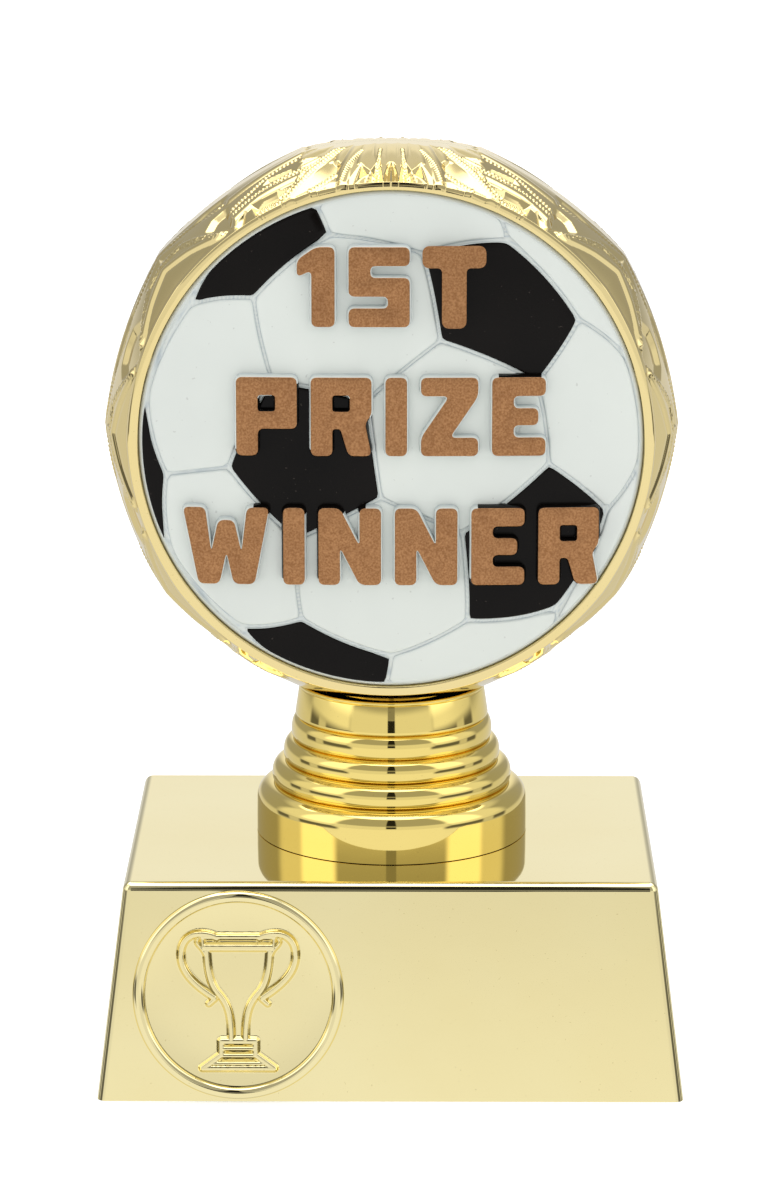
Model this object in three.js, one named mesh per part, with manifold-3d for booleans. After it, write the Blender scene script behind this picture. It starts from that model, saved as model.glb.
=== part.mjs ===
// A small football trophy: a hollow plinth with a round centre, a turned riser, and a
// cut-glass style ball that holds a round football plaque. Millimetres, +Z up. The origin is
// at the middle of the plinth's underside and the plaque faces -Y.
import * as THREE from 'three';
import { mergeVertices } from 'three/addons/utils/BufferGeometryUtils.js';
import Module from 'manifold-3d';

const wasm = await Module();
wasm.setup();

// ---- driving dimensions -------------------------------------------------------------------
const GAP = 0.3;                    // between pieces that touch

const BASE_WIDTH = 82;
const BASE_DEPTH = 64;
const BASE_HEIGHT = 30.65;
const BASE_DRAFT = 3.84;            // how far each side leans in over the height
const BASE_WALL = 2.2;
const BASE_CORNER = 0.9;
const COVER_THICK = 1;
const COVER_INSET = 0.8;            // how far the cover lies inside the plinth's rim

const CENTRE_X = -21.2;             // middle of the round centre on the sloping front
const CENTRE_UP = 15.1;             // its height along the slope
const CENTRE_RADIUS = 12.7;         // a standard 25.4 mm (1 inch) centre
const RECESS_RADIUS = 13.05;
const RECESS_DEPTH = 1.5;
const BEAD_RADIUS = 13.9;
const BEAD_HALF_WIDTH = 0.85;

const ROD_RADIUS = 3;               // M6
const ROD_CLEAR = 3.4;
const ROD_BOTTOM = 17.4;
const ROD_TOP = 62.4;
const NUT_ACROSS_FLATS = 10;
const NUT_THICK = 5;
const WASHER_RADIUS = 9;
const WASHER_THICK = 1.2;
const PLATE_WIDTH = 58;
const PLATE_DEPTH = 40;
const PLATE_THICK = 3;

const RISER_WALL = 2;
const RISER_DECK = 49.3;            // the floor of the cup at its top
const RISER_DECK_THICK = 2;
const RISER_CUP_RADIUS = 11.9;
const RISER_TOP = 51.15;

const BALL_HEIGHT = 90.8;           // the ball's centre above the table
const BALL_RADIUS = 40.5;           // to the corners of its ten-sided outline
const BALL_SIDES = 10;
const BALL_FLATNESS = 0.36;         // 0 round, 1 straight sides between the corners
const BALL_BAND = 2.5;              // half the width of the level band round the middle
const BALL_WALL = 2;
const BALL_SEGMENTS = 60;
const FLUTE_DEPTH = 0.6;
const LIP_AT = 15.9;                // the front lip's distance from the middle
const LIP_OUTER = 37.1;
const REAR_LIP_AT = 11;             // the back half is shallower
const REAR_LIP_OUTER = 36.6;
const LIP_INNER = 35.3;
const SOCKET_RADIUS = 35.15;
const SOCKET_FLOOR = 9.9;
const SOCKET_FLOOR_THICK = 1.8;
const FOOT_RADIUS = 10.6;
const FOOT_BOTTOM = RISER_DECK + GAP;

const PLAQUE_RADIUS = 34.75;
const PLAQUE_BACK = 11.6;
const PLAQUE_EDGE = 14.7;
const PLAQUE_ROUNDING = 0.7;
const PLAQUE_CROWN = 17.8;
const PAD_RADIUS = 30;
const PAD_THICK = 1.1;
const REAR_DISC_THICK = 1.6;

const LETTER_HEIGHT = 11;
const LETTER_STROKE = 3;
const LETTER_RAISE = 1.8;
const LETTER_SPACE = 1.9;
const LETTER_ROWS = [
  { text: '1ST', up: 22.1 },
  { text: 'PRIZE', up: 4.1 },
  { text: 'WINNER', up: -14.3 },
];

const slopeAngle = Math.atan(BASE_DRAFT / BASE_HEIGHT);

// ---- materials ----------------------------------------------------------------------------
const finish = (color, roughness, metalness) =>
  new THREE.MeshStandardMaterial({ color, roughness, metalness });
const GOLD = finish(0xe8dca0, 0.15, 1);
const ENAMEL = finish(0xe4e6df, 0.3, 0);
const STEEL = finish(0xb8bcc0, 0.4, 1);
const BLACK_SHEET = finish(0x1c1c1e, 0.85, 0);
const FOAM = finish(0xd8d8d4, 0.9, 0);

// ---- solids from geometries -----------------------------------------------------------------
function solid(geometry) {
  let shape = geometry.clone();
  shape.deleteAttribute('normal');
  shape.deleteAttribute('uv');
  shape = mergeVertices(shape, 1e-3);
  const corners = [];
  for (let i = 0; i < shape.index.count; i += 3) {
    const [a, b, c] = [0, 1, 2].map((k) => shape.index.getX(i + k));
    if (a !== b && b !== c && c !== a) corners.push(a, b, c);
  }
  const build = (list) => new wasm.Manifold(new wasm.Mesh({
    numProp: 3,
    vertProperties: Float32Array.from(shape.attributes.position.array),
    triVerts: Uint32Array.from(list),
  }));
  const made = build(corners);
  return made.volume() > 0 ? made : build(corners.reverse());
}

function asGeometry(body) {
  const mesh = body.getMesh();
  const geometry = new THREE.BufferGeometry();
  geometry.setAttribute('position', new THREE.BufferAttribute(mesh.vertProperties, 3));
  geometry.setIndex(new THREE.BufferAttribute(mesh.triVerts, 1));
  geometry.computeVertexNormals();
  return geometry;
}

function piece(name, body, material) {
  const mesh = new THREE.Mesh(asGeometry(body), material);
  mesh.name = name;
  return mesh;
}

// a profile of [radius, height] points turned about +Z
function turned(profile, segments) {
  const points = profile.map(([radius, height]) => new THREE.Vector2(radius, height));
  return new THREE.LatheGeometry(points, segments).rotateX(Math.PI / 2);
}

// an upright round bar about +Z from one height to another
function bar(radius, bottom, top, segments = 32) {
  return turned([[0, bottom], [radius, bottom], [radius, top], [0, top]], segments);
}

function roundedRectangle(width, depth, corner) {
  const [x, y] = [width / 2, depth / 2];
  const shape = new THREE.Shape();
  shape.moveTo(-x + corner, -y);
  shape.lineTo(x - corner, -y);
  shape.absarc(x - corner, -y + corner, corner, -Math.PI / 2, 0);
  shape.lineTo(x, y - corner);
  shape.absarc(x - corner, y - corner, corner, 0, Math.PI / 2);
  shape.lineTo(-x + corner, y);
  shape.absarc(-x + corner, y - corner, corner, Math.PI / 2, Math.PI);
  shape.lineTo(-x, -y + corner);
  shape.absarc(-x + corner, -y + corner, corner, Math.PI, Math.PI * 1.5);
  return shape;
}

function extruded(shape, bottom, top) {
  const options = { depth: top - bottom, bevelEnabled: false, curveSegments: 4 };
  return new THREE.ExtrudeGeometry(shape, options).translate(0, 0, bottom);
}

// a block whose four sides lean in with the plinth's own draft
function leaningBlock(width, depth, corner, bottom, top) {
  const geometry = extruded(roundedRectangle(width, depth, corner), bottom, top);
  const lean = BASE_DRAFT * (top - bottom) / BASE_HEIGHT;
  const position = geometry.attributes.position;
  for (let i = 0; i < position.count; i += 1) {
    if (position.getZ(i) < (bottom + top) / 2) continue;
    position.setX(i, position.getX(i) * (1 - 2 * lean / width));
    position.setY(i, position.getY(i) * (1 - 2 * lean / depth));
  }
  return geometry;
}

// ---- the sloping front: a frame whose +Z stands square on it ----------------------------------
function frontFrame(x, up) {
  const frame = new THREE.Group();
  const out = up * Math.sin(slopeAngle);
  frame.position.set(x, -BASE_DEPTH / 2 + out, up * Math.cos(slopeAngle));
  frame.rotation.x = Math.PI / 2 - slopeAngle;
  frame.updateMatrix();
  return frame;
}

// ---- plinth --------------------------------------------------------------------------------
function baseShell() {
  const inside = BASE_HEIGHT - BASE_WALL;
  const outer = leaningBlock(BASE_WIDTH, BASE_DEPTH, BASE_CORNER, 0, BASE_HEIGHT);
  const hollow = leaningBlock(
    BASE_WIDTH - 2 * BASE_WALL, BASE_DEPTH - 2 * BASE_WALL, BASE_CORNER, 0, inside,
  );
  const room = hollow.scale(1, 1, (inside + 1) / inside).translate(0, 0, -1);
  const face = frontFrame(CENTRE_X, CENTRE_UP).matrix;
  const bead = new THREE.TorusGeometry(BEAD_RADIUS, BEAD_HALF_WIDTH, 8, 48).applyMatrix4(face);
  const recess = bar(RECESS_RADIUS, -RECESS_DEPTH, BEAD_HALF_WIDTH + 1, 48).applyMatrix4(face);
  return solid(outer)
    .add(solid(bead))
    .subtract(solid(room))
    .subtract(solid(recess))
    .subtract(solid(bar(ROD_CLEAR, inside - 1, BASE_HEIGHT + 1)));
}

function baseCover() {
  const width = BASE_WIDTH - 2 * (BASE_WALL + COVER_INSET);
  const depth = BASE_DEPTH - 2 * (BASE_WALL + COVER_INSET);
  return solid(extruded(roundedRectangle(width, depth, BASE_CORNER), 0, COVER_THICK));
}

function weightPlate(top) {
  const plate = extruded(roundedRectangle(PLATE_WIDTH, PLATE_DEPTH, 4), top - PLATE_THICK, top);
  return solid(plate).subtract(solid(bar(ROD_CLEAR, top - PLATE_THICK - 1, top + 1)));
}

// ---- the round centre with its two-handled cup ------------------------------------------------
function cupOutline() {
  const cup = new THREE.Shape();
  cup.moveTo(-5.4, 8.1);
  cup.lineTo(-5.4, 6.2);
  cup.lineTo(-4.3, 6.2);
  cup.bezierCurveTo(-4.3, 1.6, -1.3, 0.2, -1.1, -2.4);
  cup.lineTo(-1.1, -6.1);
  cup.lineTo(-2.9, -6.1);
  cup.lineTo(-2.9, -7.9);
  cup.lineTo(-5.7, -9.2);
  cup.lineTo(-5.7, -10.3);
  cup.lineTo(5.7, -10.3);
  cup.lineTo(5.7, -9.2);
  cup.lineTo(2.9, -7.9);
  cup.lineTo(2.9, -6.1);
  cup.lineTo(1.1, -6.1);
  cup.lineTo(1.1, -2.4);
  cup.bezierCurveTo(1.3, 0.2, 4.3, 1.6, 4.3, 6.2);
  cup.lineTo(5.4, 6.2);
  cup.lineTo(5.4, 8.1);
  return cup;
}

function handleOutline(side) {
  const handle = new THREE.Shape();
  handle.moveTo(side * 4.6, 7.6);
  handle.bezierCurveTo(side * 11.4, 8.4, side * 9.2, 2.4, side * 2.6, -1);
  handle.lineTo(side * 3, -0.1);
  handle.bezierCurveTo(side * 8, 2.9, side * 9.4, 7.2, side * 4.6, 6.7);
  return handle;
}

function cupMedallion() {
  const front = 0.1;
  const relief = 0.7;
  const disc = solid(bar(CENTRE_RADIUS, GAP - RECESS_DEPTH, front, 48));
  const raise = (shape) => solid(extruded(shape, front - 0.5, relief));
  return disc.add(raise(cupOutline())).add(raise(handleOutline(1))).add(raise(handleOutline(-1)));
}

// ---- tie rod and its fixings --------------------------------------------------------------------
function tieRod() {
  const chamfer = 0.5;
  return solid(turned([
    [0, ROD_BOTTOM], [ROD_RADIUS - chamfer, ROD_BOTTOM], [ROD_RADIUS, ROD_BOTTOM + chamfer],
    [ROD_RADIUS, ROD_TOP - chamfer], [ROD_RADIUS - chamfer, ROD_TOP], [0, ROD_TOP],
  ], 32));
}

function nut(bottom) {
  const radius = NUT_ACROSS_FLATS / Math.sqrt(3);
  const hexagon = bar(radius, bottom, bottom + NUT_THICK, 6);
  return solid(hexagon).subtract(solid(bar(ROD_CLEAR, bottom - 1, bottom + NUT_THICK + 1)));
}

function washer(bottom) {
  const top = bottom + WASHER_THICK;
  return solid(turned([
    [ROD_CLEAR, bottom], [WASHER_RADIUS, bottom], [WASHER_RADIUS, top], [ROD_CLEAR, top],
    [ROD_CLEAR, bottom],
  ], 32));
}

// ---- riser ------------------------------------------------------------------------------------
// each tier bulges out and then falls back into the crease under the next one
function tier(widest, crease, bottom, top) {
  const middle = bottom + (top - bottom) * 0.42;
  return [
    [(widest + crease) / 2 + 0.35, bottom + (middle - bottom) * 0.35],
    [widest, middle],
    [widest - 0.5, middle + (top - middle) * 0.6],
    [crease, top],
  ];
}

function riser() {
  const bottom = BASE_HEIGHT + GAP;
  const outline = [
    [19.7, bottom], [19.4, 31.4], [19.4, 35.3], [19.1, 36.2], [18.5, 37], [17.6, 37.6], [16.6, 38],
    ...tier(17.2, 15, 38, 41.3),
    ...tier(15.5, 13.85, 41.3, 44.4),
    ...tier(14.4, 13.1, 44.4, 47.7),
    [13.5, 48.2], [13.2, 50.5], [13.5, 50.8], [13.4, RISER_TOP],
  ];
  const underDeck = RISER_DECK - RISER_DECK_THICK;
  return solid(turned([
    ...outline,
    [RISER_CUP_RADIUS, RISER_TOP], [RISER_CUP_RADIUS, RISER_DECK],
    [ROD_CLEAR, RISER_DECK], [ROD_CLEAR, underDeck],
    [13.1 - RISER_WALL, underDeck], [13.1 - RISER_WALL, 44.4], [13.85 - RISER_WALL, 41.3],
    [15 - RISER_WALL, 38], [16.6 - RISER_WALL, 36], [19.4 - RISER_WALL, 34],
    [19.4 - RISER_WALL, bottom], [19.7, bottom],
  ], 40));
}

// ---- ball ---------------------------------------------------------------------------------------
// how far the ten-sided outline lies inside its corners, as a share of the radius
function sideShare(angle) {
  const side = 2 * Math.PI / BALL_SIDES;
  const fromMiddle = Math.abs(angle / side - Math.round(angle / side)) * side;
  const straight = Math.cos(side / 2) / Math.cos(fromMiddle);
  return 1 - BALL_FLATNESS + BALL_FLATNESS * straight;
}

function shapeBallSkin(geometry, lipAt, lipOuter) {
  const position = geometry.attributes.position;
  const step = 2 * Math.PI / BALL_SEGMENTS;
  for (let i = 0; i < position.count; i += 1) {
    const [x, y, z] = [position.getX(i), position.getY(i), position.getZ(i)];
    const radius = Math.hypot(x, y);
    if (radius < lipOuter || z > lipAt - 0.5) continue;
    const angle = Math.atan2(x, y);
    const inFlute = z > BALL_BAND + 1 && Math.round(Math.abs(angle) / step) % 2 === 1;
    const wanted = radius * sideShare(angle) - (inFlute ? FLUTE_DEPTH : 0);
    position.setX(i, x * wanted / radius);
    position.setY(i, y * wanted / radius);
  }
  return geometry;
}

// half of the ball, its middle plane at z = 0 and its lip facing +Z; +Y is up
function ballHalf(lipAt, lipOuter, socketFloor) {
  const rise = lipAt - BALL_BAND;
  const drop = BALL_RADIUS - lipOuter;
  const onSkin = (share) => [BALL_RADIUS - drop * share ** 1.5, BALL_BAND + rise * share];
  const floorBack = socketFloor - SOCKET_FLOOR_THICK;
  const profile = [
    [0, floorBack], [LIP_INNER - 2, floorBack], [BALL_RADIUS - BALL_WALL - 2.2, BALL_BAND + 2.5],
    [BALL_RADIUS - BALL_WALL - 1, GAP / 2], [BALL_RADIUS, GAP / 2], [BALL_RADIUS, BALL_BAND],
    onSkin(0.25), onSkin(0.5), onSkin(0.75), [lipOuter, lipAt],
    [LIP_INNER, lipAt], [SOCKET_RADIUS, lipAt - 0.3], [SOCKET_RADIUS, socketFloor],
    [0, socketFloor],
  ];
  const skin = solid(shapeBallSkin(turned(profile, BALL_SEGMENTS), lipAt, lipOuter));
  const upright = (radius, from, to) => bar(radius, from - BALL_HEIGHT, to - BALL_HEIGHT)
    .rotateX(-Math.PI / 2);
  const footTop = BALL_HEIGHT - BALL_RADIUS + 3.2;
  const foot = solid(upright(FOOT_RADIUS, FOOT_BOTTOM, footTop));
  const frontOnly = solid(new THREE.BoxGeometry(60, 60, 30).translate(0, -BALL_RADIUS, 15 + GAP / 2));
  const hole = solid(upright(ROD_CLEAR, FOOT_BOTTOM - 2, footTop + 12));
  return skin.add(foot.intersect(frontOnly)).subtract(hole);
}

// ---- plaque -------------------------------------------------------------------------------------
function plaqueFront(radius) {
  const share = Math.min(radius / PLAQUE_RADIUS, 1);
  return PLAQUE_EDGE + PLAQUE_ROUNDING + (PLAQUE_CROWN - PLAQUE_EDGE - PLAQUE_ROUNDING) * (1 - share ** 2);
}

const W = 8.4;                      // width of a full letter
const S = LETTER_STROKE;
const H = LETTER_HEIGHT;
const BOWL = [[S, 6.2], [W - S, 6.2], [W - S, 8.5], [S, 8.5]];
const GLYPHS = {
  1: { width: 5.2, outline: [[2, 0], [5.2, 0], [5.2, H], [2.6, H], [0, 9.2], [0, 6.8], [2, 7.8]] },
  S: {
    width: W,
    outline: [
      [0, 0], [W - 1.6, 0], [W, 1.6], [W, 5.2], [W - 1.6, 6.8], [S, 6.8], [S, 8.4], [W, 8.4],
      [W, H], [1.6, H], [0, H - 1.6], [0, 5.8], [1.6, 4.2], [W - S, 4.2], [W - S, 2.6], [0, 2.6],
    ],
  },
  T: {
    width: W,
    outline: [
      [0, H], [0, 8.3], [(W - S) / 2, 8.3], [(W - S) / 2, 0], [(W + S) / 2, 0],
      [(W + S) / 2, 8.3], [W, 8.3], [W, H],
    ],
  },
  P: {
    width: W,
    outline: [[0, 0], [S, 0], [S, 3.8], [W - 1.6, 3.8], [W, 5.4], [W, H - 1.6], [W - 1.6, H], [0, H]],
    hole: BOWL,
  },
  R: {
    width: W,
    outline: [
      [0, 0], [S, 0], [S, 3.8], [4.1, 3.8], [W - S, 0], [W, 0], [W, 1], [7.2, 4.4], [W, 5.6],
      [W, H - 1.6], [W - 1.6, H], [0, H],
    ],
    hole: BOWL,
  },
  I: { width: S, outline: [[0, 0], [S, 0], [S, H], [0, H]] },
  Z: {
    width: 7.9,
    outline: [
      [0, 0], [7.9, 0], [7.9, 2.6], [4, 2.6], [7.9, 8.4], [7.9, H], [0, H], [0, 8.4],
      [3.9, 8.4], [0, 2.6],
    ],
  },
  E: {
    width: 7.4,
    outline: [
      [0, 0], [7.4, 0], [7.4, 2.6], [S, 2.6], [S, 4.3], [6.4, 4.3], [6.4, 6.7], [S, 6.7],
      [S, 8.4], [7.4, 8.4], [7.4, H], [0, H],
    ],
  },
  W: {
    width: 12,
    outline: [
      [0, H], [3.1, H], [3.9, 4.6], [4.9, 9.2], [7.1, 9.2], [8.1, 4.6], [8.9, H], [12, H],
      [9.9, 0], [7, 0], [6, 4.6], [5, 0], [2.1, 0],
    ],
  },
  N: {
    width: 8.7,
    outline: [
      [0, 0], [S, 0], [S, 5.4], [8.7 - S, 0], [8.7, 0], [8.7, H], [8.7 - S, H], [8.7 - S, 5.6],
      [S, H], [0, H],
    ],
  },
};

function letterShape(glyph) {
  const points = (list) => list.map(([x, y]) => new THREE.Vector2(x, y));
  const shape = new THREE.Shape(points(glyph.outline));
  if (glyph.hole) shape.holes.push(new THREE.Path(points(glyph.hole)));
  return shape;
}

function addRow(body, { text, up }) {
  const glyphs = [...text].map((letter) => GLYPHS[letter]);
  const spaces = LETTER_SPACE * (glyphs.length - 1);
  let left = -(glyphs.reduce((sum, glyph) => sum + glyph.width, 0) + spaces) / 2;
  let joined = body;
  for (const glyph of glyphs) {
    const middle = left + glyph.width / 2;
    const front = plaqueFront(Math.hypot(middle, up)) + LETTER_RAISE;
    const letter = extruded(letterShape(glyph), PLAQUE_BACK + 1, front);
    joined = joined.add(solid(letter.translate(left, up - LETTER_HEIGHT / 2, 0)));
    left += glyph.width + LETTER_SPACE;
  }
  return joined;
}

function footballInsert() {
  const crown = [0.97, 0.8, 0.6, 0.4, 0.2, 0].map((share) => share * PLAQUE_RADIUS);
  const disc = solid(turned([
    [0, PLAQUE_BACK], [PLAQUE_RADIUS, PLAQUE_BACK], [PLAQUE_RADIUS, PLAQUE_EDGE],
    ...crown.map((radius) => [radius, plaqueFront(radius)]),
  ], 60));
  return LETTER_ROWS.reduce(addRow, disc);
}

// ---- the trophy -----------------------------------------------------------------------------------
const trophy = new THREE.Group();
const underRoof = BASE_HEIGHT - BASE_WALL - GAP;
const underPlate = underRoof - PLATE_THICK - GAP;
const underWasher = underPlate - WASHER_THICK - GAP;
trophy.add(piece('base_shell', baseShell(), GOLD));
trophy.add(piece('base_cover', baseCover(), BLACK_SHEET));
trophy.add(piece('weight_plate', weightPlate(underRoof), STEEL));
trophy.add(piece('bottom_washer', washer(underPlate - WASHER_THICK), STEEL));
trophy.add(piece('bottom_nut', nut(underWasher - NUT_THICK), STEEL));
trophy.add(piece('tie_rod', tieRod(), STEEL));
trophy.add(piece('riser', riser(), GOLD));
trophy.add(piece('holder_nut', nut(ROD_TOP - NUT_THICK - 1), STEEL));

const centre = frontFrame(CENTRE_X, CENTRE_UP);
centre.add(piece('cup_medallion', cupMedallion(), GOLD));
trophy.add(centre);

const front = new THREE.Group();
front.position.z = BALL_HEIGHT;
front.rotation.x = Math.PI / 2;
front.add(piece('holder_front', ballHalf(LIP_AT, LIP_OUTER, SOCKET_FLOOR), GOLD));
front.add(piece('insert_adhesive_pad', solid(bar(
  PAD_RADIUS, SOCKET_FLOOR + GAP, SOCKET_FLOOR + GAP + PAD_THICK, 48,
)), FOAM));
front.add(piece('football_insert', footballInsert(), ENAMEL));
trophy.add(front);

const back = new THREE.Group();
const rearFloor = REAR_LIP_AT - REAR_DISC_THICK - 2 * GAP;
back.position.z = BALL_HEIGHT;
back.rotation.set(Math.PI / 2, Math.PI, 0);
back.add(piece('holder_back', ballHalf(REAR_LIP_AT, REAR_LIP_OUTER, rearFloor), GOLD));
back.add(piece('rear_disc', solid(bar(
  PLAQUE_RADIUS, rearFloor + GAP, rearFloor + GAP + REAR_DISC_THICK, 60,
)), GOLD));
trophy.add(back);

export default trophy;
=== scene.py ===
import itertools
import math

import bmesh
import bpy
import numpy as np
from mathutils import Matrix, Vector
from mathutils.geometry import tessellate_polygon


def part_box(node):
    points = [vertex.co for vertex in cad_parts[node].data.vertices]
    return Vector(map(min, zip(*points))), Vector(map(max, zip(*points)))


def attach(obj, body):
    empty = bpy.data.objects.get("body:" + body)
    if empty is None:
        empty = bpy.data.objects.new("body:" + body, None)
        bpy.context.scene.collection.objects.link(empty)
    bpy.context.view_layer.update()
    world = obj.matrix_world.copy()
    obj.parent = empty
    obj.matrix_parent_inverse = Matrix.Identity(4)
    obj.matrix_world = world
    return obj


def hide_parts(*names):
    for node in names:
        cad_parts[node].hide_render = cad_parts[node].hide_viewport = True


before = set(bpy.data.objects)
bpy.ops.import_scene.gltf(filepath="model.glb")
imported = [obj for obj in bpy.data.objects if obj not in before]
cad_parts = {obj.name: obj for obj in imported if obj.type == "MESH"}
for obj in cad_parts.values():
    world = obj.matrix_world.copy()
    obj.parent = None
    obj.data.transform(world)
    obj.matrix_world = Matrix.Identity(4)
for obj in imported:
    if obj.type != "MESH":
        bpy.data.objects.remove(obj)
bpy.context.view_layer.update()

MM = 0.001

# ---- sizes and places, in millimetres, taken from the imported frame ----


def box_mm(node):
    low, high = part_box(node)
    return low / MM, high / MM


BASE_LOW, BASE_HIGH = box_mm("base_shell")
COVER_LOW, COVER_HIGH = box_mm("base_cover")
PLAQUE_LOW, PLAQUE_HIGH = box_mm("football_insert")
CENTRE_LOW, CENTRE_HIGH = box_mm("cup_medallion")
RISER_TOP = box_mm("riser")[1].z

BASE_WIDTH = BASE_HIGH.x - BASE_LOW.x
BASE_DEPTH = 2 * BASE_HIGH.y
BASE_HEIGHT = BASE_HIGH.z
BASE_DRAFT = 3.84  # how far each side leans in over the plinth's height
BASE_WALL = 2.2
SLOPE = math.atan(BASE_DRAFT / BASE_HEIGHT)
CENTRE_X = (CENTRE_LOW.x + CENTRE_HIGH.x) / 2
CENTRE_UP = 15.1  # the round centre's middle, measured up the sloping front
CENTRE_RADIUS = 13.0

BALL_Z = (PLAQUE_LOW.z + PLAQUE_HIGH.z) / 2
BALL_RADIUS = box_mm("holder_front")[1].x
BALL_BAND = 1.0  # half width of the straight band round the ball's middle
BALL_FLATNESS = 0.36  # 0 is a round outline, 1 a true ten-sided one
SIDE = 36.0  # degrees taken by each of the ten sides
LIP = -box_mm("holder_front")[0].y
LIP_OUTER = 36.5
LIP_INNER = 35.12
REAR_LIP = box_mm("holder_back")[1].y
REAR_LIP_OUTER = 36.6
FRONT_FLOOR, REAR_FLOOR = 9.9, REAR_LIP - 2.2  # the sockets' floors, from the ball's middle plane
PLAQUE_RADIUS = (PLAQUE_HIGH.x - PLAQUE_LOW.x) / 2 + 0.3

# ---- meshes ----


def new_object(name, mesh, materials):
    thing = bpy.data.objects.new(name, mesh)
    bpy.context.scene.collection.objects.link(thing)
    for material in materials:
        mesh.materials.append(material)
    return thing


def mesh_from(name, points, faces, materials, sharp=35.0):
    """A smooth-shaded piece from points in millimetres; edges sharper than the angle stay crisp."""
    mesh = bpy.data.meshes.new(name)
    mesh.from_pydata((np.asarray(points) * MM).tolist(), [], faces)
    mesh.validate()
    mesh.shade_smooth()
    if sharp:
        mesh.set_sharp_from_angle(angle=math.radians(sharp))
    return new_object(name, mesh, materials)


def grid_faces(rows, columns, wrap=True, closed=False):
    """Quads of a grid of points stored row by row; wrap joins the last column to the first, and
    closed joins the last row to the first."""
    row = np.arange(rows if closed else rows - 1)[:, None]
    column = np.arange(columns if wrap else columns - 1)[None, :]
    below, after = (row + 1) % rows, (column + 1) % columns
    row, below = row * columns, below * columns
    quads = np.stack([row + column, row + after, below + after, below + column], -1)
    return quads.reshape(-1, 4).tolist()


def round_steps(count):
    return np.linspace(0, 2 * math.pi, count, endpoint=False)


def lathe(name, profile, segments, materials, sharp=35.0):
    """Turns a closed profile of (radius, height) about +Z."""
    profile = np.asarray(profile, float)
    turn = round_steps(segments)
    radius, height = profile[:, :1], profile[:, 1:]
    points = np.stack([radius * np.sin(turn), -radius * np.cos(turn), height + 0 * turn], -1)
    faces = grid_faces(len(profile), segments, closed=True)
    return mesh_from(name, points.reshape(-1, 3), faces, materials, sharp)


def bevelled_box(name, corner_at, bevels, materials):
    """A box whose corners corner_at places; a bevel names edges by their ends' heights, then its
    width and segments."""
    mesh = bpy.data.meshes.new(name)
    form = bmesh.new()
    bmesh.ops.create_cube(form, size=1.0)
    for vertex in form.verts:
        vertex.co = Vector(corner_at(*vertex.co)) * MM
    for chosen, width, segments in bevels:
        edges = [e for e in form.edges if chosen(*(v.co.z / MM for v in e.verts))]
        bmesh.ops.bevel(
            form, geom=edges, offset=width * MM, segments=segments, profile=0.5, affect="EDGES",
        )
    form.to_mesh(mesh)
    form.free()
    return new_object(name, mesh, materials)


def quarter(start, end, steps, bulge):
    """Points of a quarter ellipse from start to end, leaving start upright and reaching end level."""
    (r0, z0), (r1, z1) = start, end
    angles = np.linspace(0, math.pi / 2, steps + 1)[1:]
    return [
        (r1 + (r0 - r1) * math.cos(t) ** bulge, z0 + (z1 - z0) * math.sin(t) ** bulge)
        for t in angles
    ]


def carve(thing, tool, operation):
    """Joins or cuts with another object, which is then removed."""
    step = thing.modifiers.new("cut", "BOOLEAN")
    step.object = tool
    step.operation = operation
    step.solver = "EXACT"
    settle(thing)
    bpy.data.objects.remove(tool)


def settle(thing):
    """Applies an object's modifiers to its mesh."""
    graph = bpy.context.evaluated_depsgraph_get()
    done = bpy.data.meshes.new_from_object(thing.evaluated_get(graph))
    thing.modifiers.clear()
    thing.data = done


def flatten_normals(thing, sharp):
    """Keeps large flat faces optically flat next to their rounded edges."""
    thing.data.shade_smooth()
    thing.data.set_sharp_from_angle(angle=math.radians(sharp))
    step = thing.modifiers.new("flat", "WEIGHTED_NORMAL")
    step.mode = "FACE_AREA"
    step.keep_sharp = True
    settle(thing)


# ---- materials ----


def linear(red, green, blue):
    """Linear colour from 0-255 display values."""
    def one(value):
        value /= 255
        return value / 12.92 if value <= 0.04045 else ((value + 0.055) / 1.055) ** 2.4
    return (one(red), one(green), one(blue), 1.0)


class Tree:
    """A node tree, with short ways to add nodes and links."""

    def __init__(self, owner):
        owner.use_nodes = True
        self.tree = owner.node_tree

    def add(self, kind, **settings):
        node = self.tree.nodes.new(kind)
        for key, value in settings.items():
            if key.startswith("in_"):
                node.inputs[key[3:].replace("_", " ")].default_value = value
            else:
                setattr(node, key, value)
        return node

    def link(self, source, socket):
        """Feeds a socket from another node's output, or sets it to a plain value."""
        if isinstance(source, (int, float, tuple)):
            socket.default_value = source
        else:
            self.tree.links.new(source, socket)

    def maths(self, operation, *sources):
        node = self.add("ShaderNodeMath", operation=operation)
        for source, socket in zip(sources, node.inputs):
            self.link(source, socket)
        return node.outputs[0]

    def spread(self, value, low, high, to_low=0.0, to_high=1.0, **settings):
        node = self.add("ShaderNodeMapRange", **settings)
        keys = ("Value", "From Min", "From Max", "To Min", "To Max")
        for key, source in zip(keys, (value, low, high, to_low, to_high)):
            self.link(source, node.inputs[key])
        return node.outputs["Result"]


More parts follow.
